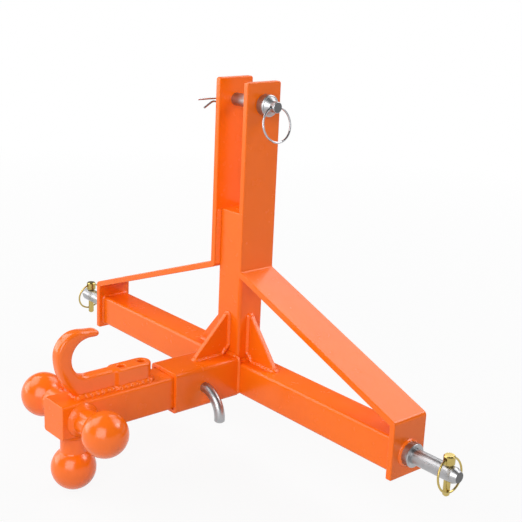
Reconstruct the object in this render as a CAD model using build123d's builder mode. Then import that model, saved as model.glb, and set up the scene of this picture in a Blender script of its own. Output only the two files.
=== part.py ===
from build123d import *
import os
from math import asin, cos, radians, sin, sqrt, tan

# Three point receiver hitch, in millimetres.
# The origin is midway between the two lower pins, on their common axis.
# X runs across the hitch, minus Y points at the load, and Z is up.

# Running fits and small gaps
running_clearance = 0.05
seat_gap = 0.1
side_gap = 0.2

# Lower and top pin positions
mast_height = 422.25
crossbar_drop = 2.35

# Upright tube and its cap
upright_width = 54.0
upright_depth = 46.5
upright_wall = 4.8
upright_corner = 5.0
upright_top = 258.25
cap_thickness = 4.8
cap_edge = 1.5

# Crossbar tube
crossbar_size = 50.8
crossbar_wall = 4.8
crossbar_corner = 5.0
tube_bore_corner = 0.5
crossbar_length = 705.0

# Side bars: one flat bar each, folded into an ear, a brace and an end plate
bar_width = 63.5
bar_thickness = 9.5
ear_corner = 4.0
plate_corner = 2.0
ear_above_pin = 33.0
ear_fold_height = 172.25
plate_fold_height = 50.25
plate_below_pin = 33.75
fold_inside = 3.0
fold_outside = 7.0
bar_edge = 1.5

# Receiver tube
receiver_size = 63.5
receiver_corner = 6.0
receiver_bore_corner = 1.0
receiver_length = 120.0
hitch_hole_from_mouth = 53.0
mouth_edge = 1.0

# Ball mount
shank_size = 50.8
shank_corner = 4.5
shank_length = 300.0
shank_clearance = 0.8
shank_end_gap = 8.0
shank_end_edge = 1.0
ball_diameter = 65.0
ball_reach = 57.1
ball_from_end = 32.0
neck_diameter = 38.0
neck_fillet = 4.0
neck_foot_diameter = 44.0
neck_flare_radius = 6.0

# Tow hook
hook_width = 21.0
hook_edge = 4.5
hook_sections = 12
hook_tip_round = 3.0
hook_tip_taper = 0.45
hook_soft_corner = 0.42
hook_from_end = 36.75
crown_radius = 34.0
crown_height = 64.6
crown_fall_angle = 8.0
crown_fall_length = 27.0
throat_radius = 28.0
throat_offset = 17.5
throat_height = 57.6
throat_lip_length = 13.0
throat_floor_angle = 4.0
heel_from_end = 34.25
base_height = 29.0
flange_width = 29.0
flange_from_end = 93.25
flange_length = 67.5
flange_taper = 6.0
flange_edge = 2.5
hook_hole = 12.0
hook_hole_from_tail = 14.0
hook_hole_spacing = 35.25

# Gusset plates
gusset_thickness = 8.0
front_gusset_leg = 62.75
front_gusset_height = 64.25
side_gusset_leg = 62.0
side_gusset_height = 72.5
gusset_blunt = 5.0
gusset_notch = 14.0
gusset_edge = 1.5

# Lower pins, each one forging with its collar
lower_pin_diameter = 22.2
lower_pin_reach = 88.0
lower_pin_tail = 3.0
lower_pin_point = 8.0
lower_pin_end_diameter = 15.0
lower_collar_diameter = 34.0
lower_collar_length = 13.0
lower_collar_edge = 1.0
lower_weld = 3.0

# Lynch pins and their rings
lynch_from_end = 19.0
lynch_diameter = 9.5
lynch_length = 33.6
lynch_head_diameter = 16.0
lynch_head_height = 13.8
lynch_head_edge = 1.5
lynch_point = 2.0
lynch_ring_hole_height = 8.8
ring_wire = 3.0
ring_hole_slack = 1.0
lynch_ring_radius = 23.5

# Top link pin and its pull ring
top_pin_diameter = 19.05
top_pin_left_reach = 26.0
top_collar_diameter = 32.0
top_collar_length = 14.5
top_collar_edge = 1.5
top_cone_diameter = 27.0
top_cone_length = 7.0
top_neck_diameter = 16.5
top_neck_length = 16.0
top_neck_point = 1.0
top_pin_point = 2.0
pull_ring_from_end = 6.0
pull_ring_radius = 25.75
pull_ring_lean = 12.0

# Hitch pin
hitch_pin_diameter = 15.9
hitch_pin_left_reach = 51.5
hitch_pin_bend = 38.0
hitch_pin_bend_start = 0.75
hitch_pin_arm = 4.0
hitch_pin_point = 1.5

# Hairpin clips
clip_wire = 3.0
clip_from_end = 7.0
clip_hole_slack = 0.2
clip_leg = 58.0
clip_bow_start = 14.0
clip_bow_blend = 8.0
clip_bow_flare = 30.0
clip_rise = 15.0
clip_rise_length = 22.0
clip_waist_radius = 12.0
clip_tip_flare = 30.0
clip_tip_length = 14.0

# Places that follow from the sizes above
upright_side = upright_width / 2
upright_front = -upright_depth / 2
crossbar_y = upright_front + crossbar_size / 2
crossbar_z = -crossbar_drop
crossbar_top = crossbar_z + crossbar_size / 2
bar_top_face = upright_side + bar_thickness
plate_inner = crossbar_length / 2
plate_outer = plate_inner + bar_thickness
receiver_mouth = upright_front - receiver_length
receiver_top = receiver_size / 2
receiver_bore = shank_size + 2 * shank_clearance
hitch_pin_y = receiver_mouth + hitch_hole_from_mouth
shank_tail = upright_front - shank_end_gap
shank_end = shank_tail - shank_length
shank_top = shank_size / 2
ball_y = shank_end + ball_from_end
lower_pin_end = plate_outer + lower_pin_reach
lynch_x = lower_pin_end - lynch_from_end
lower_pin_radius = lower_pin_diameter / 2
top_pin_radius = top_pin_diameter / 2
hitch_pin_radius = hitch_pin_diameter / 2
wire_radius = ring_wire / 2


def front_plane(z):
    """Plane facing minus Y with its origin on the Z axis."""
    return Plane(origin=(0, 0, z), x_dir=(1, 0, 0), z_dir=(0, -1, 0))


def side_plane(x, y, z):
    """Plane facing plus X, with local X along Y."""
    return Plane(origin=(x, y, z), x_dir=(0, 1, 0), z_dir=(1, 0, 0))


def ring_drop(ring_radius, boss_diameter):
    """Distance from a cross hole to the centre of the ring it carries.

    The ring curves away inside the hole, so half of that sag goes above
    the hole's axis and half below, and the ring swings freely.
    """
    sag = ring_radius - sqrt(ring_radius**2 - (boss_diameter / 2) ** 2)
    return ring_radius - sag / 2


def ring_plane(x, z, drop, lean):
    """Plane of a ring that hangs from a cross hole at x, z and leans outwards by lean."""
    return Plane(
        origin=(x + drop * sin(lean), 0, z - drop * cos(lean)),
        x_dir=(0, 1, 0),
        z_dir=(cos(lean), 0, sin(lean)),
    )


# Crossbar tube
with BuildPart() as crossbar_tube:
    with BuildSketch(Plane.YZ.offset(-crossbar_length / 2)):
        with Locations((crossbar_y, crossbar_z)):
            RectangleRounded(crossbar_size, crossbar_size, crossbar_corner)
            RectangleRounded(
                crossbar_size - 2 * crossbar_wall,
                crossbar_size - 2 * crossbar_wall,
                tube_bore_corner,
                mode=Mode.SUBTRACT,
            )
    extrude(amount=crossbar_length)

# Upright tube, standing on the crossbar
with BuildPart() as upright_tube:
    with BuildSketch(Plane.XY.offset(crossbar_top)):
        RectangleRounded(upright_width, upright_depth, upright_corner)
        RectangleRounded(
            upright_width - 2 * upright_wall,
            upright_depth - 2 * upright_wall,
            tube_bore_corner,
            mode=Mode.SUBTRACT,
        )
    extrude(amount=upright_top - cap_thickness - crossbar_top)

# Plate that closes the upright's top
with BuildPart() as upright_cap:
    with BuildSketch(Plane.XY.offset(upright_top - cap_thickness)):
        RectangleRounded(upright_width, upright_depth, upright_corner)
    extrude(amount=cap_thickness)
    fillet(upright_cap.faces().sort_by(Axis.Z)[-1].edges(), cap_edge)

# Receiver tube, butted against the crossbar's front
with BuildPart() as receiver_tube:
    with BuildSketch(Plane.XZ.offset(-upright_front)):
        RectangleRounded(receiver_size, receiver_size, receiver_corner)
        RectangleRounded(receiver_bore, receiver_bore, receiver_bore_corner, mode=Mode.SUBTRACT)
    extrude(amount=receiver_length)
    fillet(receiver_tube.faces().sort_by(Axis.Y)[0].outer_wire().edges(), mouth_edge)
    with BuildSketch(Plane.YZ):
        with Locations((hitch_pin_y, 0)):
            Circle(hitch_pin_radius + running_clearance)
    extrude(amount=receiver_size, both=True, mode=Mode.SUBTRACT)

# Side bars: the profile is the outer face and the parallel inner face
brace_slope = (ear_fold_height - plate_fold_height) / (plate_outer - bar_top_face)
brace_depth = bar_thickness * sqrt(1 + brace_slope**2)
fold_shift = bar_thickness * brace_slope - brace_depth
ear_top = mast_height + ear_above_pin

with BuildPart() as side_bar_right:
    with BuildSketch(Plane.XZ):
        with BuildLine():
            outer_face = FilletPolyline(
                (bar_top_face, ear_top),
                (bar_top_face, ear_fold_height),
                (plate_outer, plate_fold_height),
                (plate_outer, -plate_below_pin),
                radius=[fold_inside, fold_outside],
            )
            inner_face = FilletPolyline(
                (upright_side, ear_top),
                (upright_side, ear_fold_height + fold_shift),
                (plate_inner, plate_fold_height + fold_shift),
                (plate_inner, -plate_below_pin),
                radius=[fold_outside, fold_inside],
            )
            Line(outer_face @ 0, inner_face @ 0)
            Line(outer_face @ 1, inner_face @ 1)
        make_face()
    extrude(amount=bar_width / 2, both=True)
    bar_ends = side_bar_right.edges().filter_by(Axis.X).group_by(Axis.Z)
    fillet(bar_ends[-1], ear_corner)
    fillet(bar_ends[0], plate_corner)
    bar_sides = side_bar_right.faces().filter_by(Axis.Y).group_by(Axis.Y)
    fillet(bar_sides[0].edges() + bar_sides[-1].edges(), bar_edge)
    with BuildSketch(Plane.YZ):
        with Locations((0, mast_height)):
            Circle(top_pin_radius + running_clearance)
    extrude(amount=bar_top_face, mode=Mode.SUBTRACT)
    with BuildSketch(Plane.YZ.offset(plate_inner)):
        Circle(lower_pin_radius + running_clearance)
    extrude(amount=bar_thickness, mode=Mode.SUBTRACT)

with BuildPart() as side_bar_left:
    mirror(side_bar_right.part, about=Plane.YZ)


# Gussets: a right triangle with blunt tips and its inner corner cut away
def gusset_plate(plane, leg, height):
    with BuildPart() as plate:
        with BuildSketch(plane):
            with BuildLine():
                Polyline(
                    (gusset_notch, 0),
                    (leg, 0),
                    (leg, gusset_blunt),
                    (gusset_blunt, height),
                    (0, height),
                    (0, gusset_notch),
                    close=True,
                )
            make_face()
        extrude(amount=gusset_thickness / 2, both=True)
        hypotenuse = plate.faces().sort_by(SortBy.AREA)[-3]
        fillet(hypotenuse.edges(), gusset_edge)
    return plate.part


with BuildPart() as gusset_front:
    add(
        gusset_plate(
            Plane(origin=(0, upright_front, receiver_top), x_dir=(0, -1, 0), z_dir=(-1, 0, 0)),
            front_gusset_leg,
            front_gusset_height,
        )
    )

with BuildPart() as gusset_right:
    add(
        gusset_plate(
            Plane(origin=(upright_side, 0, crossbar_top), x_dir=(1, 0, 0), z_dir=(0, -1, 0)),
            side_gusset_leg,
            side_gusset_height,
        )
    )

with BuildPart() as gusset_left:
    mirror(gusset_right.part, about=Plane.YZ)

# Lower pins, with the weld round the collar's foot
with BuildPart() as lower_pin_right:
    with BuildSketch(Plane.XZ):
        with BuildLine():
            collar_radius = lower_collar_diameter / 2
            collar_face = plate_outer + lower_collar_length
            Polyline(
                (plate_inner - lower_pin_tail, 0),
                (plate_inner - lower_pin_tail, lower_pin_radius),
                (plate_outer, lower_pin_radius),
                (plate_outer, collar_radius + lower_weld),
                (plate_outer + lower_weld, collar_radius),
                (collar_face - lower_collar_edge, collar_radius),
                (collar_face, collar_radius - lower_collar_edge),
                (collar_face, lower_pin_radius),
                (lower_pin_end - lower_pin_point, lower_pin_radius),
                (lower_pin_end, lower_pin_end_diameter / 2),
                (lower_pin_end, 0),
                close=True,
            )
        make_face()
    revolve(axis=Axis.X)
    with BuildSketch(Plane.XY):
        with Locations((lynch_x, 0)):
            Circle(lynch_diameter / 2 + side_gap)
    extrude(amount=lower_pin_diameter, both=True, mode=Mode.SUBTRACT)

with BuildPart() as lower_pin_left:
    mirror(lower_pin_right.part, about=Plane.YZ)

# Lynch pins, dropped through the lower pins' ends
lynch_seat = lower_pin_radius + seat_gap
lynch_hinge_z = lynch_seat + lynch_ring_hole_height
lynch_head_top = lynch_seat + lynch_head_height
lynch_axis = Axis((lynch_x, 0, 0), (0, 0, 1))

with BuildPart() as lynch_pin_right:
    with BuildSketch(Plane.XZ):
        with BuildLine():
            shaft_edge = lynch_x + lynch_diameter / 2
            head_edge = lynch_x + lynch_head_diameter / 2
            Polyline(
                (lynch_x, -lynch_length),
                (shaft_edge - lynch_point, -lynch_length),
                (shaft_edge, -lynch_length + lynch_point),
                (shaft_edge, lynch_seat),
                (head_edge - lynch_head_edge, lynch_seat),
                (head_edge, lynch_seat + lynch_head_edge),
                (head_edge, lynch_head_top - lynch_head_edge),
                (head_edge - lynch_head_edge, lynch_head_top),
                (lynch_x, lynch_head_top),
                close=True,
            )
        make_face()
    revolve(axis=lynch_axis)
    with BuildSketch(Plane.XZ):
        with Locations((lynch_x, lynch_hinge_z)):
            Circle(wire_radius + ring_hole_slack)
    extrude(amount=lynch_head_diameter, both=True, mode=Mode.SUBTRACT)

with BuildPart() as lynch_pin_left:
    mirror(lynch_pin_right.part, about=Plane.YZ)

# Lynch rings: each leans on the outer side of its pin's shaft
lynch_drop = ring_drop(lynch_ring_radius, lynch_head_diameter)
lean = asin((lynch_diameter / 2 + wire_radius + side_gap) / (lynch_drop + lynch_ring_radius))

with BuildPart(ring_plane(lynch_x, lynch_hinge_z, lynch_drop, lean)) as lynch_ring_right:
    Torus(lynch_ring_radius, wire_radius)

with BuildPart() as lynch_ring_left:
    mirror(lynch_ring_right.part, about=Plane.YZ)

# Top link pin: shaft, collar, cone and a neck drilled for the pull ring
top_pin_left_end = -(upright_side + top_pin_left_reach)
top_collar_start = bar_top_face + side_gap
top_collar_end = top_collar_start + top_collar_length
top_pin_right_end = top_collar_end + top_neck_length
top_clip_x = top_pin_left_end + clip_from_end
pull_ring_x = top_pin_right_end - pull_ring_from_end
top_pin_axis = Axis((0, 0, mast_height), (1, 0, 0))

with BuildPart() as top_link_pin:
    with BuildSketch(front_plane(mast_height)):
        with BuildLine():
            top_collar_radius = top_collar_diameter / 2
            top_neck_radius = top_neck_diameter / 2
            Polyline(
                (top_pin_left_end, 0),
                (top_pin_left_end, top_pin_radius - top_pin_point),
                (top_pin_left_end + top_pin_point, top_pin_radius),
                (top_collar_start, top_pin_radius),
                (top_collar_start, top_collar_radius - top_collar_edge),
                (top_collar_start + top_collar_edge, top_collar_radius),
                (top_collar_end - top_collar_edge, top_collar_radius),
                (top_collar_end, top_collar_radius - top_collar_edge),
                (top_collar_end, top_cone_diameter / 2),
                (top_collar_end + top_cone_length, top_neck_radius),
                (top_pin_right_end - top_neck_point, top_neck_radius),
                (top_pin_right_end, top_neck_radius - top_neck_point),
                (top_pin_right_end, 0),
                close=True,
            )
        make_face()
    revolve(axis=top_pin_axis)
    with BuildSketch(front_plane(mast_height)):
        with Locations((pull_ring_x, 0)):
            Circle(wire_radius + ring_hole_slack)
        with Locations((top_clip_x, 0)):
            Circle(clip_wire / 2 + clip_hole_slack)
    extrude(amount=top_pin_diameter, both=True, mode=Mode.SUBTRACT)

# Pull ring, hanging from the neck and swung a little outwards
pull_ring_drop = ring_drop(pull_ring_radius, top_neck_diameter)
pull_ring_plane = ring_plane(pull_ring_x, mast_height, pull_ring_drop, radians(pull_ring_lean))
with BuildPart(pull_ring_plane) as pull_ring:
    Torus(pull_ring_radius, wire_radius)

# Hitch pin: a round bar bent down at its right end
hitch_pin_left_end = -hitch_pin_left_reach
hitch_clip_x = hitch_pin_left_end + clip_from_end

with BuildPart() as hitch_pin:
    with BuildLine(Plane.XZ.offset(-hitch_pin_y)) as hitch_pin_path:
        straight = Line((hitch_pin_left_end, 0), (receiver_top + hitch_pin_bend_start, 0))
        bend = JernArc(start=straight @ 1, tangent=straight % 1, radius=hitch_pin_bend, arc_size=-90)
        Line(bend @ 1, (bend @ 1) + (bend % 1) * hitch_pin_arm)
    with BuildSketch(Plane(origin=hitch_pin_path.line @ 0, z_dir=hitch_pin_path.line % 0)):
        Circle(hitch_pin_radius)
    sweep()
    pin_ends = hitch_pin.faces().filter_by(GeomType.PLANE).edges()
    chamfer(pin_ends, hitch_pin_point)
    with BuildSketch(Plane.XZ):
        with Locations((hitch_clip_x, 0)):
            Circle(clip_wire / 2 + clip_hole_slack)
    extrude(amount=-2 * hitch_pin_y, both=True, mode=Mode.SUBTRACT)


# Hairpin clips: one leg through the pin, the other sprung round its underside
def hairpin_clip(plane, pin_radius):
    grip = pin_radius + clip_wire / 2 + seat_gap
    flare = radians(clip_bow_flare)
    bow_radius = (grip + 2 * clip_bow_blend * (1 - cos(flare))) / (2 * cos(flare))
    with BuildPart() as clip:
        with BuildLine(plane) as wire:
            leg = Line((-clip_leg, 0), (clip_bow_start, 0))
            rise = JernArc(leg @ 1, leg % 1, clip_bow_blend, clip_bow_flare)
            bow = JernArc(rise @ 1, rise % 1, bow_radius, -180 - 2 * clip_bow_flare)
            fall = JernArc(bow @ 1, bow % 1, clip_bow_blend, clip_bow_flare)
            under = Line(fall @ 1, (fall @ 1) + (fall % 1) * clip_bow_start)
            hug = JernArc(under @ 1, under % 1, grip, -clip_rise)
            climb = Line(hug @ 1, (hug @ 1) + (hug % 1) * clip_rise_length)
            waist = JernArc(climb @ 1, climb % 1, clip_waist_radius, clip_rise + clip_tip_flare)
            Line(waist @ 1, (waist @ 1) + (waist % 1) * clip_tip_length)
        with BuildSketch(Plane(origin=wire.line @ 0, z_dir=wire.line % 0)):
            Circle(clip_wire / 2)
        sweep()
    return clip.part


with BuildPart() as top_pin_clip:
    add(hairpin_clip(side_plane(top_clip_x, 0, mast_height), top_pin_radius))

with BuildPart() as hitch_pin_clip:
    add(hairpin_clip(side_plane(hitch_clip_x, hitch_pin_y, 0), hitch_pin_radius))

# Ball mount shank, a solid square bar held in the receiver by the hitch pin
with BuildPart() as ball_mount_shank:
    with BuildSketch(Plane.XZ.offset(-shank_tail)):
        RectangleRounded(shank_size, shank_size, shank_corner)
    extrude(amount=shank_length)
    fillet(ball_mount_shank.faces().sort_by(Axis.Y)[0].edges(), shank_end_edge)
    with BuildSketch(Plane.YZ):
        with Locations((hitch_pin_y, 0)):
            Circle(hitch_pin_radius + running_clearance)
    extrude(amount=shank_size, both=True, mode=Mode.SUBTRACT)


# Hitch balls: each ball and its neck are one forging
def hitch_ball(plane):
    """A ball whose neck starts on the plane and grows along its normal."""
    ball_radius = ball_diameter / 2
    neck_radius = neck_diameter / 2
    foot_radius = neck_foot_diameter / 2
    neck_top = ball_reach - sqrt(ball_radius**2 - neck_radius**2)
    flare_run = neck_radius + neck_flare_radius - foot_radius
    lip = neck_flare_radius - sqrt(neck_flare_radius**2 - flare_run**2)
    with BuildPart() as ball:
        with BuildSketch(Plane.XZ) as profile:
            with BuildLine():
                foot = Polyline((0, 0), (foot_radius, 0), (foot_radius, lip))
                flare = RadiusArc(foot @ 1, (neck_radius, neck_flare_radius), neck_flare_radius)
                neck_side = Line(flare @ 1, (neck_radius, neck_top))
                crown = ThreePointArc(
                    neck_side @ 1,
                    (ball_radius, ball_reach),
                    (0, ball_reach + ball_radius),
                )
                Line(crown @ 1, (0, 0))
            make_face()
            fillet(profile.vertices().sort_by(Axis.Y)[-2], neck_fillet)
        revolve(axis=Axis.Z)
    return plane.location * ball.part


with BuildPart() as ball_right:
    add(hitch_ball(Plane(origin=(shank_top, ball_y, 0), z_dir=(1, 0, 0))))

with BuildPart() as ball_left:
    mirror(ball_right.part, about=Plane.YZ)

with BuildPart() as ball_bottom:
    add(hitch_ball(Plane(origin=(0, ball_y, -shank_top), z_dir=(0, 0, -1))))

# Tow hook, one forging: rounded sections from the tip to the heel, then a drilled foot
base_top = shank_top + base_height
flange_start = shank_end + flange_from_end
flange_end = flange_start + flange_length
flange_tail_y = flange_end - flange_width / 2
foot_hole_y = flange_end - hook_hole_from_tail

crown_y = shank_end + hook_from_end
crown_z = shank_top + crown_height
throat_y = crown_y + throat_offset
throat_z = shank_top + throat_height
crown_turn = 90 + crown_fall_angle

with BuildLine() as back_line:
    crown = CenterArc((crown_y, crown_z), crown_radius, 180 - crown_turn, crown_turn)
    Line((crown @ 0) - (crown % 0) * crown_fall_length, crown @ 0)
    TangentArc(crown @ 1, (shank_end + heel_from_end, shank_top), tangent=(0, -1))

with BuildLine() as throat_line:
    roof = CenterArc((throat_y, throat_z), throat_radius, 90, 180 - throat_floor_angle)
    Line((throat_y + throat_lip_length, throat_z + throat_radius), roof @ 0)

hook_back = Plane.YZ.from_local_coords(back_line.wire())
hook_throat = Plane.YZ.from_local_coords(throat_line.wire())


def hook_section(outer, inner, shift=Vector(0, 0, 0)):
    """Plane of the hook's section between a point on its back and one in its throat."""
    across = outer - inner
    middle = (outer + inner) / 2 + shift
    return Plane(origin=middle, x_dir=(1, 0, 0), z_dir=Vector(1, 0, 0).cross(across))


with BuildPart() as tow_hook:
    with BuildSketch(Plane.XY.offset(shank_top)):
        with BuildLine():
            Polyline(
                (hook_width / 2, flange_start),
                (flange_width / 2, flange_start + flange_taper),
                (flange_width / 2, flange_tail_y),
                (-flange_width / 2, flange_tail_y),
                (-flange_width / 2, flange_start + flange_taper),
                (-hook_width / 2, flange_start),
                close=True,
            )
        make_face()
        with Locations((0, flange_tail_y)):
            Circle(flange_width / 2)
    extrude(amount=base_height)
    fillet(tow_hook.faces().filter_by(Axis.Z).sort_by(Axis.Z)[-1].edges(), flange_edge)
    tip_thickness = (hook_back @ 0 - hook_throat @ 0).length
    tip_shift = (hook_back % 0) * -hook_tip_round
    with BuildSketch(hook_section(hook_back @ 0, hook_throat @ 0, tip_shift)):
        nose = tip_thickness * hook_tip_taper
        RectangleRounded(hook_width - 2 * hook_tip_round, nose, nose * hook_soft_corner)
    for step in range(hook_sections + 1):
        back_point = hook_back @ (step / hook_sections)
        throat_point = hook_throat @ (step / hook_sections)
        thickness = (back_point - throat_point).length
        with BuildSketch(hook_section(back_point, throat_point)):
            RectangleRounded(hook_width, thickness, min(hook_edge, thickness * hook_soft_corner))
    loft()
    root_plane = hook_section(hook_back @ 1, hook_throat @ 1)
    foot_top_point = Vector(0, flange_start + flange_width / 2, base_top)
    foot_low_point = Vector(0, flange_start + flange_width / 2, shank_top)
    with BuildSketch(root_plane):
        RectangleRounded(hook_width, (hook_back @ 1 - hook_throat @ 1).length, hook_edge)
    with BuildSketch(hook_section(foot_low_point, foot_top_point)):
        RectangleRounded(hook_width, base_height, hook_edge)
    loft()
    with BuildSketch(Plane.XY.offset(shank_top)):
        with Locations((0, foot_hole_y), (0, foot_hole_y - hook_hole_spacing)):
            Circle(hook_hole / 2)
    extrude(amount=base_height + hook_edge, mode=Mode.SUBTRACT)

# Labels and files
nodes = {
    "crossbar_tube": crossbar_tube,
    "upright_tube": upright_tube,
    "upright_cap": upright_cap,
    "receiver_tube": receiver_tube,
    "side_bar_left": side_bar_left,
    "side_bar_right": side_bar_right,
    "gusset_front": gusset_front,
    "gusset_left": gusset_left,
    "gusset_right": gusset_right,
    "lower_pin_left": lower_pin_left,
    "lower_pin_right": lower_pin_right,
    "lynch_pin_left": lynch_pin_left,
    "lynch_pin_right": lynch_pin_right,
    "lynch_ring_left": lynch_ring_left,
    "lynch_ring_right": lynch_ring_right,
    "top_link_pin": top_link_pin,
    "top_pin_clip": top_pin_clip,
    "pull_ring": pull_ring,
    "hitch_pin": hitch_pin,
    "hitch_pin_clip": hitch_pin_clip,
    "ball_mount_shank": ball_mount_shank,
    "ball_left": ball_left,
    "ball_right": ball_right,
    "ball_bottom": ball_bottom,
    "tow_hook": tow_hook,
}

os.makedirs("parts", exist_ok=True)
for name, node in nodes.items():
    node.part.label = name
    export_step(node.part, f"parts/{name}.step")
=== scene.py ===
import math

import bmesh
import bpy
import numpy as np
from mathutils import Matrix, Vector, noise


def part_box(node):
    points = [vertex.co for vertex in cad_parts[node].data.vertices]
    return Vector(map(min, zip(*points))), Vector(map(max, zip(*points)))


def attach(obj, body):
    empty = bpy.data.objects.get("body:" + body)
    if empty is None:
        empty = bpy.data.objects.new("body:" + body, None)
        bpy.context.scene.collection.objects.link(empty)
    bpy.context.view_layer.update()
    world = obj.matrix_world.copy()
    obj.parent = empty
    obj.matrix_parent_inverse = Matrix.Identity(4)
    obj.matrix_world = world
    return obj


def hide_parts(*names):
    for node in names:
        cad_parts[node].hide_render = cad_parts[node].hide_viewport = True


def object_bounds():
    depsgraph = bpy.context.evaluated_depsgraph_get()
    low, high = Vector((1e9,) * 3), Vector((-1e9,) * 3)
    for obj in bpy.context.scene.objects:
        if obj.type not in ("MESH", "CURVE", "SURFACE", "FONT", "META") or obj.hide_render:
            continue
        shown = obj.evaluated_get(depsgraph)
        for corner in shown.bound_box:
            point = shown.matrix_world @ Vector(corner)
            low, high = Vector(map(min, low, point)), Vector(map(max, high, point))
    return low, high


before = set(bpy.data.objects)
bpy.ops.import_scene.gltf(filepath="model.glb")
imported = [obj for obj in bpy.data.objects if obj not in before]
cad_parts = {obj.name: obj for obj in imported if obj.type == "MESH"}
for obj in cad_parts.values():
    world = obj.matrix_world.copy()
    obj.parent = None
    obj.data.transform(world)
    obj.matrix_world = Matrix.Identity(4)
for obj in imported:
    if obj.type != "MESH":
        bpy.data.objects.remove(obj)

cad_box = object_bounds()

# Camera, at the photograph's angle. Places are in metres, angles in degrees.
CAMERA_PLACE = (1.21027, -1.02676, 0.65084)
CAMERA_AZIMUTH = 48.7476
CAMERA_ELEVATION = 16.5127
CAMERA_ROLL = 2.5758
CAMERA_LENS = 74.205
CAMERA_SHIFT = (0.0048, -0.0034)

# Finishes. Colours are linear, scales in features a metre, depths in metres.
ORANGE = (0.95, 0.162, 0.004)
ORANGE_DEEP = (0.91, 0.149, 0.003)
STEEL = (0.45, 0.45, 0.46)
WIRE = (0.50, 0.50, 0.52)
YELLOW_ZINC = (0.56, 0.43, 0.14)
COAT_DRIFT_SCALE = 14.0
COAT_GLOSS_SCALE = 60.0
COAT_PEEL_DETAIL = 2.0
COAT_PEEL_DEPTH = 0.0004
METAL_DRIFT_SCALE = 90.0
METAL_DARK_SHARE = 0.86
METAL_GRAIN_DETAIL = 4.0
METAL_GRAIN_STRENGTH = 0.12
METAL_GRAIN_DEPTH = 0.0001
# Painted shade: a pin's end faces are darkened to this share of its colour, within this
# depth of each end along X, standing in for their dark reflections
END_SHADE_SHARE = 0.34
END_SHADE_DEPTH = 0.0002

# Weld beads. Lengths are in metres, and the crescent and middle are shares of a
# ripple. The bulge is 0 for a flat face and 1 for a round one.
RIPPLE_PITCH = 0.0064
RIPPLE_HEIGHT = 0.0005
RIPPLE_CRESCENT = 0.8
RIPPLE_MIDDLE = 0.6
BEAD_STEP = 0.0006
BEAD_BULGE = 0.38
BEAD_SIDES = 8
WANDER_SCALE = 160
WANDER_SHARE = 0.10

# Gusset plates' clipped inner corner and rounded edge, in metres, as in the CAD
NOTCH = 0.014
GUSSET_EDGE = 0.0015

# Weld metal in that corner: overlap in metres, then shares of its size
FILL_OVERLAP = 0.001
FILL_DIP = 0.45
FILL_WIDTH = 0.97

# Sizes of the CAD, in millimetres, that a node's box doesn't give
RECEIVER_CORNER = 6.0
CROSSBAR_CORNER = 5.0
COLLAR_RADIUS = 17.0
HOOK_HALF = 10.5
FLANGE_HALF = 14.5
FLANGE_START = -238.0
FLANGE_TAPER = 6.0
HEEL_Y = -297.0

# Close to the CAD's neck radius, 19.0, and hook edge, 4.5
NECK_RADIUS = 18.8
HEEL_CORNER = 4.0

# Where beads begin and end, in millimetres. The ears' start just under the folds.
EAR_WELD_LOW = 168.0
EAR_WELD_TOP_GAP = 1
RECEIVER_LAP = 4
FOOT_LEAD = 5
FOOT_GAP = 3

# Steps in a gusset's edge, in a tube's corner and all round a pin or neck
EDGE_STEPS = 4
CORNER_STEPS = 10
ROUND_STEPS = 36

# Tow hook: how finely it is meshed, and where it is eased. Lengths are in metres.
HOOK_VOXEL = 0.0008
HOOK_PASSES = 60
EASE_STEP = 0.6
EASE_LEAST = 0.06
EASE_HEIGHT = 0.050
EASE_FRONT_Y = -0.262
EASE_FRONT_RUN = 0.020
EASE_RUN = 0.012
EASE_SHANK_GAP = 0.001

# Floor, world and lamps. Lengths are in metres.
FLOOR_RADIUS = 40.0
FLOOR_RIM = 7.5
FLOOR_SIDES = 72
FLOOR_GREY = 0.55
FLOOR_NEAR = 0.6
FLOOR_FAR = 2.4
FLOOR_NEAR_WHITE = 0.92
WORLD_LIGHT = 0.14
LAMP_AIM = Vector((0, -0.05, 0.15))
LAMP_DISTANCE = 2.4

# Name, direction from the hitch, width, height and brightness of each lamp
LAMPS = (
    ("front_box", (0.48, -0.76, 0.43), 1.8, 1.8, 4.1),
    ("left_box", (-0.76, -0.60, 0.20), 1.5, 1.1, 3.2),
    ("high_box", (-0.60, -0.36, 0.71), 2.2, 1.5, 2.9),
    ("back_box", (0.02, 0.72, 0.69), 2.7, 1.5, 2.7),
    ("edge_box", (0.45, 0.65, 0.61), 1.0, 0.7, 5.0),
)

X, Y, Z = 0, 1, 2
UP = Vector((0, 0, 1))
FORWARD = Vector((0, -1, 0))
BACKWARD = Vector((0, 1, 0))
SIDES = (("left", -1), ("right", 1))


def mm(x, y, z):
    """A point given in millimetres, in metres."""
    return Vector((x, y, z)) * 0.001


def span(node, axis):
    """Lowest and highest place of a CAD node along an axis, in millimetres."""
    low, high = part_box(node)
    return low[axis] * 1000, high[axis] * 1000


def new_material(name):
    """An empty node material: the material, its nodes and its links."""
    material = bpy.data.materials.new(name)
    material.use_nodes = True
    material.node_tree.nodes.clear()
    return material, material.node_tree.nodes, material.node_tree.links


def shader_on(nodes, links):
    """A principled shader wired to the material's output."""
    output = nodes.new("ShaderNodeOutputMaterial")
    shader = nodes.new("ShaderNodeBsdfPrincipled")
    links.new(shader.outputs["BSDF"], output.inputs["Surface"])
    return shader


def noise_node(nodes, links, scale, detail=3.0):
    """Noise over the object's own coordinates, in features a metre."""
    place = nodes.new("ShaderNodeTexCoord")
    texture = nodes.new("ShaderNodeTexNoise")
    texture.inputs["Scale"].default_value = scale
    texture.inputs["Detail"].default_value = detail
    links.new(place.outputs["Object"], texture.inputs["Vector"])
    return texture


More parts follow.
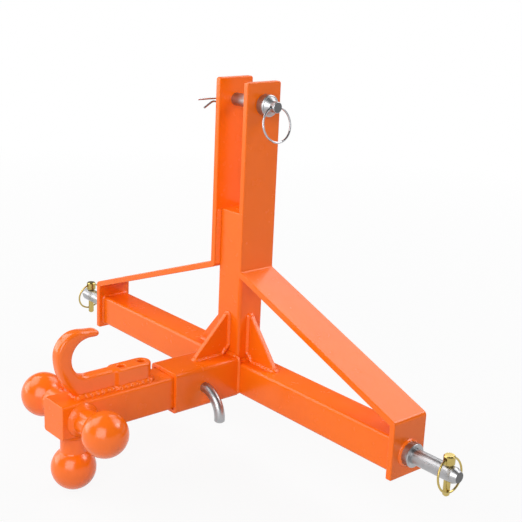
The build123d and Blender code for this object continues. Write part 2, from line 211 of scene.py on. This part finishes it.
def ramp_node(nodes, links, source, low, high, colours):
    """Spreads source between two colours, from low to high."""
    ramp = nodes.new("ShaderNodeValToRGB")
    ramp.color_ramp.elements[0].position = low
    ramp.color_ramp.elements[1].position = high
    ramp.color_ramp.elements[0].color = (*colours[0], 1)
    ramp.color_ramp.elements[1].color = (*colours[1], 1)
    links.new(source, ramp.inputs["Fac"])
    return ramp


def range_node(nodes, links, source, low, high, start=0.3, end=0.7):
    """Turns a source that runs from start to end into the range low to high."""
    spread = nodes.new("ShaderNodeMapRange")
    spread.inputs["From Min"].default_value = start
    spread.inputs["From Max"].default_value = end
    spread.inputs["To Min"].default_value = low
    spread.inputs["To Max"].default_value = high
    links.new(source, spread.inputs["Value"])
    return spread


def bump_node(nodes, links, height, strength, distance):
    """Bump from a height, its distance in metres."""
    bump = nodes.new("ShaderNodeBump")
    bump.inputs["Strength"].default_value = strength
    bump.inputs["Distance"].default_value = distance
    links.new(height, bump.inputs["Height"])
    return bump


def math_node(nodes, links, operation, *terms):
    """Result of a maths node whose terms are sockets or numbers."""
    node = nodes.new("ShaderNodeMath")
    node.operation = operation
    for term, socket in zip(terms, node.inputs):
        if isinstance(term, bpy.types.NodeSocket):
            links.new(term, socket)
        else:
            socket.default_value = term
    return node.outputs[0]


def powder_coat(name, peel_scale, peel_strength, low, high, shine):
    """Orange powder coat: faint drift of colour, orange peel and uneven gloss.

    Its roughness goes from low to high, and shine is how strongly it reflects.
    """
    material, nodes, links = new_material(name)
    shader = shader_on(nodes, links)
    drift = noise_node(nodes, links, COAT_DRIFT_SCALE)
    colour = ramp_node(nodes, links, drift.outputs["Fac"], 0.3, 0.7, (ORANGE_DEEP, ORANGE))
    links.new(colour.outputs["Color"], shader.inputs["Base Color"])
    gloss = noise_node(nodes, links, COAT_GLOSS_SCALE)
    rough = range_node(nodes, links, gloss.outputs["Fac"], low, high)
    links.new(rough.outputs["Result"], shader.inputs["Roughness"])
    peel = noise_node(nodes, links, peel_scale, COAT_PEEL_DETAIL)
    bump = bump_node(nodes, links, peel.outputs["Fac"], peel_strength, COAT_PEEL_DEPTH)
    links.new(bump.outputs["Normal"], shader.inputs["Normal"])
    shader.inputs["Specular IOR Level"].default_value = shine
    return material


def shaded_pin_ends(nodes, links, node):
    """What a pin's colour is scaled by: a painted shade share at its end faces along X,
    standing in for their dark reflections, and 1 elsewhere.
    """
    low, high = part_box(node)
    place = nodes.new("ShaderNodeTexCoord")
    split = nodes.new("ShaderNodeSeparateXYZ")
    links.new(place.outputs["Object"], split.inputs["Vector"])
    along = split.outputs["X"]
    left = math_node(nodes, links, "LESS_THAN", along, low.x + END_SHADE_DEPTH)
    right = math_node(nodes, links, "GREATER_THAN", along, high.x - END_SHADE_DEPTH)
    both = math_node(nodes, links, "MAXIMUM", left, right)
    return math_node(nodes, links, "MULTIPLY_ADD", both, END_SHADE_SHARE - 1, 1.0)


def metal(name, colour, low, high, grain, pin=None):
    """Bare or plated metal: slight drift of tone, with fine grain in gloss and height.

    Its roughness goes from low to high. The named pin's end faces are painted darker, as
    painted shade for their dark reflections.
    """
    material, nodes, links = new_material(name)
    shader = shader_on(nodes, links)
    drift = noise_node(nodes, links, METAL_DRIFT_SCALE)
    dark = tuple(c * METAL_DARK_SHARE for c in colour)
    tone = ramp_node(nodes, links, drift.outputs["Fac"], 0.35, 0.65, (dark, colour))
    # Painted shade: the pin's end faces are darkened
    if pin:
        shade = nodes.new("ShaderNodeVectorMath")
        shade.operation = "SCALE"
        links.new(tone.outputs["Color"], shade.inputs[0])
        links.new(shaded_pin_ends(nodes, links, pin), shade.inputs["Scale"])
        links.new(shade.outputs["Vector"], shader.inputs["Base Color"])
    else:
        links.new(tone.outputs["Color"], shader.inputs["Base Color"])
    fine = noise_node(nodes, links, grain, METAL_GRAIN_DETAIL)
    rough = range_node(nodes, links, fine.outputs["Fac"], low, high)
    links.new(rough.outputs["Result"], shader.inputs["Roughness"])
    bump = bump_node(
        nodes, links, fine.outputs["Fac"], METAL_GRAIN_STRENGTH, METAL_GRAIN_DEPTH
    )
    links.new(bump.outputs["Normal"], shader.inputs["Normal"])
    shader.inputs["Metallic"].default_value = 1.0
    return material


orange_coat = powder_coat(
    "orange_coat", peel_scale=900.0, peel_strength=0.04, low=0.20, high=0.28, shine=0.35
)
forged_coat = powder_coat(
    "forged_coat", peel_scale=900.0, peel_strength=0.04, low=0.16, high=0.24, shine=0.55
)
weld_coat = powder_coat(
    "weld_coat", peel_scale=1500.0, peel_strength=0.10, low=0.20, high=0.28, shine=0.45
)
bright_steel = metal("bright_steel", STEEL, 0.30, 0.42, grain=1400.0)
# Steel copies for the pins, with painted shade on their end faces
left_pin_steel = metal(
    "left_pin_steel", STEEL, 0.30, 0.42, grain=1400.0, pin="lower_pin_left"
)
right_pin_steel = metal(
    "right_pin_steel", STEEL, 0.30, 0.42, grain=1400.0, pin="lower_pin_right"
)
top_pin_steel = metal(
    "top_pin_steel", STEEL, 0.34, 0.46, grain=1400.0, pin="top_link_pin"
)
spring_wire = metal("spring_wire", WIRE, 0.14, 0.26, grain=2200.0)
yellow_zinc = metal("yellow_zinc", YELLOW_ZINC, 0.16, 0.30, grain=1800.0)

# CAD nodes take their finish by name; what isn't listed is powder coated
FINISHES = {
    "ball_left": forged_coat,
    "ball_right": forged_coat,
    "ball_bottom": forged_coat,
    "lower_pin_left": left_pin_steel,
    "lower_pin_right": right_pin_steel,
    "top_link_pin": top_pin_steel,
    "hitch_pin": bright_steel,
    "pull_ring": spring_wire,
    "top_pin_clip": spring_wire,
    "hitch_pin_clip": spring_wire,
    "lynch_pin_left": yellow_zinc,
    "lynch_pin_right": yellow_zinc,
    "lynch_ring_left": yellow_zinc,
    "lynch_ring_right": yellow_zinc,
}
for name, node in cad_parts.items():
    node.data.materials.clear()
    node.data.materials.append(FINISHES.get(name, orange_coat))


def add_piece(name, mesh_data, material, body):
    """Puts a finished bmesh into the scene as a piece that rides on a body."""
    mesh = bpy.data.meshes.new(name)
    mesh_data.to_mesh(mesh)
    mesh_data.free()
    mesh.materials.append(material)
    piece = bpy.data.objects.new(name, mesh)
    bpy.context.scene.collection.objects.link(piece)
    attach(piece, body)


def resample(stations, closed):
    """Evenly spaced stations along a run of (point, first side, second side)."""
    if closed:
        stations = stations + stations[:1]
    lengths = [(b[0] - a[0]).length for a, b in zip(stations, stations[1:])]
    total = sum(lengths)
    count = max(8, round(total / BEAD_STEP))
    made = []
    section, passed = 0, 0.0
    for i in range(count if closed else count + 1):
        at = total * i / count
        while section < len(lengths) - 1 and at > passed + lengths[section]:
            passed += lengths[section]
            section += 1
        t = min(1.0, (at - passed) / lengths[section])
        a, b = stations[section], stations[section + 1]
        made.append((at, *(p.lerp(q, t) for p, q in zip(a, b))))
    return made, total


def weld_bead(
    name,
    stations,
    leg,
    closed=False,
    depth=0.0015,
    ripple=RIPPLE_HEIGHT,
    pitch=RIPPLE_PITCH,
    bulge=BEAD_BULGE,
    spread=1.0,
):
    """A rippled bead of weld metal laid in a corner.

    Each station is a point of the corner with the directions of the two
    surfaces that leave it. The bead runs up the first by leg and up the
    second by leg times spread. A bulge below 0 makes it hollow.
    """
    made, total = resample(stations, closed)
    mesh_data = bmesh.new()
    rings = []
    for at, point, first, second in made:
        first = first.normalized()
        second = second.normalized() * spread
        end = 1.0
        if not closed:
            near = min(at, total - at) / leg
            end = math.sqrt(max(0.0, 1 - (1 - min(1.0, near)) ** 2))
        wander = noise.noise(point * WANDER_SCALE)
        ring = [mesh_data.verts.new(point - (first + second) * depth)]
        for i in range(BEAD_SIDES + 1):
            t = i / BEAD_SIDES
            turn = t * math.pi / 2
            flat = first * (1 - t) + second * t
            rounded = first * math.cos(turn) + second * math.sin(turn)
            reach = flat.lerp(rounded, bulge)
            crescent = (1 - (2 * t - 1) ** 2) * pitch * RIPPLE_CRESCENT
            phase = (at + crescent) / pitch
            wave = abs(math.sin(math.pi * phase)) - RIPPLE_MIDDLE
            size = leg * end * (1 + WANDER_SHARE * wander) + ripple * wave * end
            ring.append(mesh_data.verts.new(point + reach * size))
        rings.append(ring)
    following = rings[1:] + rings[:1] if closed else rings[1:]
    for a, b in zip(rings, following):
        for i in range(len(a)):
            j = (i + 1) % len(a)
            mesh_data.faces.new((a[i], b[i], b[j], a[j]))
    if not closed:
        mesh_data.faces.new(rings[0])
        mesh_data.faces.new(rings[-1][::-1])
    bmesh.ops.recalc_face_normals(mesh_data, faces=mesh_data.faces)
    for face in mesh_data.faces:
        face.smooth = True
    add_piece(name, mesh_data, weld_coat, "frame")


def arc_points(centre, start, end, radius, steps):
    """Points of an arc in a plane, angles in degrees."""
    made = []
    for i in range(steps + 1):
        angle = math.radians(start + (end - start) * i / steps)
        first = centre[0] + radius * math.cos(angle)
        second = centre[1] + radius * math.sin(angle)
        made.append((first, second))
    return made


def circle_points(radius, steps):
    """Points all round a circle about the origin of a plane."""
    return arc_points((0, 0), 0, 360, radius, steps)[:-1]


# Sizes that the welds follow, in millimetres, read from the CAD nodes
receiver_top = span("receiver_tube", Z)[1]
receiver_side = span("receiver_tube", X)[1]
upright_front, upright_back = span("upright_tube", Y)
upright_side = span("upright_tube", X)[1]
crossbar_low, crossbar_top = span("crossbar_tube", Z)
crossbar_front, crossbar_back = span("crossbar_tube", Y)
crossbar_end = span("crossbar_tube", X)[1]
shank_top = span("ball_mount_shank", Z)[1]
gusset_face = span("gusset_front", X)[1]


def gusset_weld(name, corner, foot, foot_length, tip_height):
    """One bead all round a gusset, and weld metal in its clipped corner.

    The corner is where the two tubes meet at the plate's middle, and foot is
    the way the plate's foot runs from it. The bead goes down one face, round
    the toe, up the other face and over the tip.
    """
    across = foot.cross(UP)
    face = gusset_face * 0.001
    flat = face - GUSSET_EDGE
    toe = foot_length - GUSSET_EDGE
    tip = tip_height - GUSSET_EDGE
    quarter = [90 * i / EDGE_STEPS for i in range(EDGE_STEPS + 1)]
    stations = []

    def put(u, v, w, first, second):
        stations.append((corner + foot * u + UP * v + across * w, first, second))

    put(0, tip, face, across, foot)
    put(0, NOTCH, face, across, foot)
    put(NOTCH, 0, face, across, UP)
    put(toe, 0, face, across, UP)
    for start, middle in ((0, flat), (90, -flat)):
        for step in quarter:
            angle = math.radians(start + step)
            out = across * math.cos(angle) + foot * math.sin(angle)
            reach = GUSSET_EDGE * math.sin(angle)
            put(toe + reach, 0, middle + GUSSET_EDGE * math.cos(angle), out, UP)
    put(NOTCH, 0, -face, -across, UP)
    put(0, NOTCH, -face, -across, foot)
    put(0, tip, -face, -across, foot)
    for start, middle in ((0, -flat), (90, flat)):
        for step in quarter:
            angle = math.radians(start + step)
            out = UP * math.sin(angle) - across * math.cos(angle)
            reach = GUSSET_EDGE * math.sin(angle)
            put(0, tip + reach, middle - GUSSET_EDGE * math.cos(angle), out, foot)
    weld_bead(f"weld_{name}", stations, leg=0.004, closed=True)

    mesh_data = bmesh.new()
    fill = NOTCH + FILL_OVERLAP
    outline = [(0, 0), (fill, 0), (fill * FILL_DIP, fill * FILL_DIP), (0, fill)]
    rings = []
    for w in (-face * FILL_WIDTH, face * FILL_WIDTH):
        places = [corner + foot * u + UP * v + across * w for u, v in outline]
        rings.append([mesh_data.verts.new(place) for place in places])
    low, high = rings
    mesh_data.faces.new(low)
    mesh_data.faces.new(high)
    for i in range(len(outline)):
        j = (i + 1) % len(outline)
        mesh_data.faces.new((low[i], low[j], high[j], high[i]))
    bmesh.ops.recalc_face_normals(mesh_data, faces=mesh_data.faces)
    add_piece(f"weld_fill_{name}", mesh_data, weld_coat, "frame")


front_low, front_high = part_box("gusset_front")
gusset_weld(
    "gusset_front",
    mm(0, upright_front, receiver_top),
    FORWARD,
    upright_front * 0.001 - front_low.y,
    front_high.z - receiver_top * 0.001,
)
side_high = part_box("gusset_right")[1]
for name, side in (("gusset_right", 1), ("gusset_left", -1)):
    gusset_weld(
        name,
        mm(side * upright_side, 0, crossbar_top),
        Vector((side, 0, 0)),
        side_high.x - upright_side * 0.001,
        side_high.z - crossbar_top * 0.001,
    )

# Ears to the upright's corners
ear_weld_high = span("upright_cap", Z)[1] - EAR_WELD_TOP_GAP
for name, side in SIDES:
    x = side * upright_side
    inward = Vector((-side, 0, 0))
    for end, y, out in (
        ("front", upright_front, FORWARD),
        ("back", upright_back, BACKWARD),
    ):
        weld_bead(
            f"weld_ear_{name}_{end}",
            [
                (mm(x, y, EAR_WELD_LOW), inward, out),
                (mm(x, y, ear_weld_high), inward, out),
            ],
            leg=0.0038,
            depth=0.003,
            ripple=0.0004,
            bulge=0.15,
            spread=1.8,
        )

# Receiver to the upright and crossbar. Its section is square and centred on
# the origin, so corner_middle serves for X and Z.
corner_middle = receiver_side - RECEIVER_CORNER
weld_bead(
    "weld_receiver_top",
    [
        (mm(-corner_middle, upright_front, receiver_top), FORWARD, UP),
        (mm(corner_middle, upright_front, receiver_top), FORWARD, UP),
    ],
    leg=0.005,
)
for name, side in SIDES:
    start = mm(side * (corner_middle - RECEIVER_LAP), upright_front, receiver_top)
    stations = [(start, FORWARD, UP)]
    for x, z in arc_points((0, 0), 90, 0, 1, 8):
        place = mm(
            side * (corner_middle + x * RECEIVER_CORNER),
            upright_front,
            corner_middle + z * RECEIVER_CORNER,
        )
        stations.append((place, FORWARD, Vector((side * x, 0, z))))
    foot = mm(side * receiver_side, upright_front, crossbar_low)
    stations.append((foot, FORWARD, Vector((side, 0, 0))))
    weld_bead(f"weld_receiver_{name}", stations, leg=0.0032, ripple=0.0003)

# Upright's foot on the crossbar
for name, side in SIDES:
    x = side * upright_side
    out = Vector((side, 0, 0))
    weld_bead(
        f"weld_upright_foot_{name}",
        [
            (mm(x, upright_front - FOOT_LEAD, crossbar_top), out, UP),
            (mm(x, upright_back - FOOT_GAP, crossbar_top), out, UP),
        ],
        leg=0.005,
    )
foot_end = upright_side - FOOT_GAP
weld_bead(
    "weld_upright_foot_back",
    [
        (mm(-foot_end, upright_back, crossbar_top), BACKWARD, UP),
        (mm(foot_end, upright_back, crossbar_top), BACKWARD, UP),
    ],
    leg=0.004,
)


def tube_outline(low_y, high_y, low_z, high_z, corner):
    """Rounded square in the YZ plane, anticlockwise, with its outward directions."""
    corners = [
        ((high_y - corner, high_z - corner), 0),
        ((low_y + corner, high_z - corner), 90),
        ((low_y + corner, low_z + corner), 180),
        ((high_y - corner, low_z + corner), 270),
    ]
    made = []
    for centre, start in corners:
        points = arc_points(centre, start, start + 90, corner, CORNER_STEPS)
        for i, (y, z) in enumerate(points):
            angle = math.radians(start + 90 * i / CORNER_STEPS)
            made.append(((y, z), Vector((0, math.cos(angle), math.sin(angle)))))
    return made


# Crossbar's ends to the end plates
outline = tube_outline(
    crossbar_front, crossbar_back, crossbar_low, crossbar_top, CROSSBAR_CORNER
)
for name, side in SIDES:
    inward = Vector((-side, 0, 0))
    weld_bead(
        f"weld_crossbar_end_{name}",
        [(mm(side * crossbar_end, y, z), out, inward) for (y, z), out in outline],
        leg=0.0028,
        closed=True,
        ripple=0.0003,
    )

# Collars of the lower pins to the end plates
plate_face = span("side_bar_right", X)[1]
for name, side in SIDES:
    stations = [
        (mm(side * plate_face, y, z), Vector((0, y, z)), Vector((side, 0, 0)))
        for y, z in circle_points(COLLAR_RADIUS, ROUND_STEPS)
    ]
    weld_bead(f"weld_collar_{name}", stations, leg=0.0031, closed=True, ripple=0.0003)

# Ball necks to the shank, as hollow flares
ball_y = sum(span("ball_bottom", Y)) / 2
NECK_AXES = {
    "right": (Vector((1, 0, 0)), BACKWARD, UP),
    "left": (Vector((-1, 0, 0)), BACKWARD, UP),
    "bottom": (Vector((0, 0, -1)), Vector((1, 0, 0)), BACKWARD),
}
for name, (axis, across, along) in NECK_AXES.items():
    stations = []
    for a, b in circle_points(NECK_RADIUS, ROUND_STEPS):
        out = across * a + along * b
        place = mm(0, ball_y, 0) + (axis * shank_top + out) * 0.001
        stations.append((place, out, axis))
    weld_bead(
        f"weld_ball_{name}",
        stations,
        leg=0.0066,
        closed=True,
        depth=0.001,
        ripple=0.0001,
        bulge=-0.45,
        spread=1.3,
    )

# Tow hook's foot to the shank: heel, flange's taper and round tail, and back
tail_y = span("tow_hook", Y)[1] - FLANGE_HALF
taper_end = FLANGE_START + FLANGE_TAPER
heel_x = HOOK_HALF - HEEL_CORNER
heel_y = HEEL_Y + HEEL_CORNER
outline = [
    *arc_points((-heel_x, heel_y), 270, 180, HEEL_CORNER, 5),
    (-HOOK_HALF, FLANGE_START),
    (-FLANGE_HALF, taper_end),
    *arc_points((0, tail_y), 180, 0, FLANGE_HALF, 24),
    (FLANGE_HALF, taper_end),
    (HOOK_HALF, FLANGE_START),
    *arc_points((heel_x, heel_y), 0, -90, HEEL_CORNER, 5),
]
stations = []
for i, (x, y) in enumerate(outline):
    before = Vector(outline[i - 1])
    after = Vector(outline[(i + 1) % len(outline)])
    run = (after - before).normalized()
    stations.append((mm(x, y, shank_top), Vector((-run.y, run.x, 0)), UP))
weld_bead(
    "weld_hook_foot",
    stations,
    leg=0.0054,
    closed=True,
    depth=0.003,
    ripple=0.0017,
    pitch=0.0096,
)


def forged_copy(node, name):
    """A fine mesh of a CAD node, eased where a forging is round, that stands for it.

    It is eased in full above its foot and at its heel, a little on the foot,
    and not at all where it meets the shank.
    """
    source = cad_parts[node]
    piece = bpy.data.objects.new(name, source.data.copy())
    bpy.context.scene.collection.objects.link(piece)
    remesh = piece.modifiers.new("fine", "REMESH")
    remesh.mode = "VOXEL"
    remesh.voxel_size = HOOK_VOXEL
    graph = bpy.context.evaluated_depsgraph_get()
    fine = bpy.data.meshes.new_from_object(piece.evaluated_get(graph))
    piece.modifiers.clear()
    piece.data = fine
    count = len(fine.vertices)
    places = np.empty(count * 3)
    fine.vertices.foreach_get("co", places)
    places = places.reshape(count, 3)
    ends = np.empty(len(fine.edges) * 2, dtype=int)
    fine.edges.foreach_get("vertices", ends)
    ends = ends.reshape(-1, 2)
    degree = np.bincount(ends.ravel(), minlength=count)
    above_foot = (places[:, 2] - EASE_HEIGHT) / EASE_RUN
    before_foot = (EASE_FRONT_Y - places[:, 1]) / EASE_FRONT_RUN
    off_shank = (places[:, 2] - shank_top * 0.001 - EASE_SHANK_GAP) / EASE_RUN
    ease = np.clip(np.maximum(above_foot, before_foot), EASE_LEAST, 1)
    ease = ease * np.clip(off_shank, 0, 1)
    for _ in range(HOOK_PASSES):
        total = np.zeros_like(places)
        for axis in range(3):
            total[:, axis] += np.bincount(ends[:, 0], places[ends[:, 1], axis], count)
            total[:, axis] += np.bincount(ends[:, 1], places[ends[:, 0], axis], count)
        places += (total / degree[:, None] - places) * EASE_STEP * ease[:, None]
    fine.vertices.foreach_set("co", places.ravel())
    fine.polygons.foreach_set("use_smooth", np.ones(len(fine.polygons), dtype=bool))
    fine.update()
    fine.materials.clear()
    fine.materials.append(forged_coat)
    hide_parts(node)
    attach(piece, "frame")


forged_copy("tow_hook", "tow_hook_forging")


def seen_rays(nodes, links):
    """1 for camera, glossy and transmission rays, and 0 for the rays that light."""
    path = nodes.new("ShaderNodeLightPath").outputs
    plain = math_node(
        nodes, links, "MAXIMUM", path["Is Camera Ray"], path["Is Glossy Ray"]
    )
    return math_node(nodes, links, "MAXIMUM", plain, path["Is Transmission Ray"])


def floor_material():
    """White to the camera and in reflections, and matt grey to the light.

    Near the hitch a little of the matt grey is seen too, with the shadow on it.
    """
    material, nodes, links = new_material("floor_white")
    output = nodes.new("ShaderNodeOutputMaterial")
    matt = nodes.new("ShaderNodeBsdfDiffuse")
    matt.inputs["Color"].default_value = (FLOOR_GREY, FLOOR_GREY, FLOOR_GREY, 1)
    white = nodes.new("ShaderNodeEmission")
    white.inputs["Strength"].default_value = 1.0
    blend = nodes.new("ShaderNodeMixShader")
    place = nodes.new("ShaderNodeTexCoord")
    distance = nodes.new("ShaderNodeVectorMath")
    distance.operation = "LENGTH"
    links.new(place.outputs["Object"], distance.inputs[0])
    spread = range_node(
        nodes,
        links,
        distance.outputs["Value"],
        FLOOR_NEAR_WHITE,
        1.0,
        start=FLOOR_NEAR,
        end=FLOOR_FAR,
    )
    share = math_node(
        nodes, links, "MULTIPLY", seen_rays(nodes, links), spread.outputs["Result"]
    )
    links.new(share, blend.inputs["Fac"])
    links.new(matt.outputs["BSDF"], blend.inputs[1])
    links.new(white.outputs["Emission"], blend.inputs[2])
    links.new(blend.outputs["Shader"], output.inputs["Surface"])
    return material


def add_floor(height):
    """A round floor with a rim far off, which low views see above the horizon."""
    mesh_data = bmesh.new()
    edge = circle_points(FLOOR_RADIUS, FLOOR_SIDES)
    low = [mesh_data.verts.new((x, y, height)) for x, y in edge]
    high = [mesh_data.verts.new((x, y, height + FLOOR_RIM)) for x, y in edge]
    mesh_data.faces.new(low)
    for i in range(len(edge)):
        j = (i + 1) % len(edge)
        mesh_data.faces.new((low[i], high[i], high[j], low[j]))
    mesh = bpy.data.meshes.new("floor")
    mesh_data.to_mesh(mesh)
    mesh_data.free()
    mesh.materials.append(floor_material())
    floor = bpy.data.objects.new("floor", mesh)
    bpy.context.scene.collection.objects.link(floor)


def add_world(light):
    """Even grey studio light."""
    world = bpy.data.worlds.new("studio")
    bpy.context.scene.world = world
    world.use_nodes = True
    ground = world.node_tree.nodes["Background"]
    ground.inputs["Color"].default_value = (1, 1, 1, 1)
    ground.inputs["Strength"].default_value = light


def add_softbox(name, direction, width, height, brightness):
    """A rectangular lamp aimed at the hitch; a mirror would show its brightness."""
    lamp = bpy.data.lights.new(name, "AREA")
    lamp.shape = "RECTANGLE"
    lamp.size = width
    lamp.size_y = height
    lamp.energy = brightness * math.pi * width * height
    holder = bpy.data.objects.new(name, lamp)
    aim = Vector(direction).normalized()
    holder.location = LAMP_AIM + aim * LAMP_DISTANCE
    holder.rotation_mode = "QUATERNION"
    holder.rotation_quaternion = aim.to_track_quat("Z", "Y")
    holder.visible_camera = False
    bpy.context.scene.collection.objects.link(holder)


def add_camera():
    """The scene's camera, turned by azimuth, elevation and roll."""
    azimuth = math.radians(CAMERA_AZIMUTH)
    elevation = math.radians(CAMERA_ELEVATION)
    roll = math.radians(CAMERA_ROLL)
    back = Vector(
        (
            math.sin(azimuth) * math.cos(elevation),
            -math.cos(azimuth) * math.cos(elevation),
            math.sin(elevation),
        )
    )
    level_right = Vector((math.cos(azimuth), math.sin(azimuth), 0))
    level_up = back.cross(level_right)
    right = level_right * math.cos(roll) + level_up * math.sin(roll)
    up = level_up * math.cos(roll) - level_right * math.sin(roll)
    lens = bpy.data.cameras.new("camera")
    lens.sensor_width = 36.0
    lens.lens = CAMERA_LENS
    lens.shift_x, lens.shift_y = CAMERA_SHIFT
    lens.clip_start = 0.05
    lens.clip_end = 200.0
    camera = bpy.data.objects.new("camera", lens)
    turn = Matrix((right, up, back)).transposed().to_4x4()
    camera.matrix_world = Matrix.Translation(CAMERA_PLACE) @ turn
    bpy.context.scene.collection.objects.link(camera)
    bpy.context.scene.camera = camera


add_floor(cad_box[0].z)
add_world(WORLD_LIGHT)
for lamp in LAMPS:
    add_softbox(*lamp)
add_camera()

bpy.context.scene.view_settings.view_transform = "Standard"
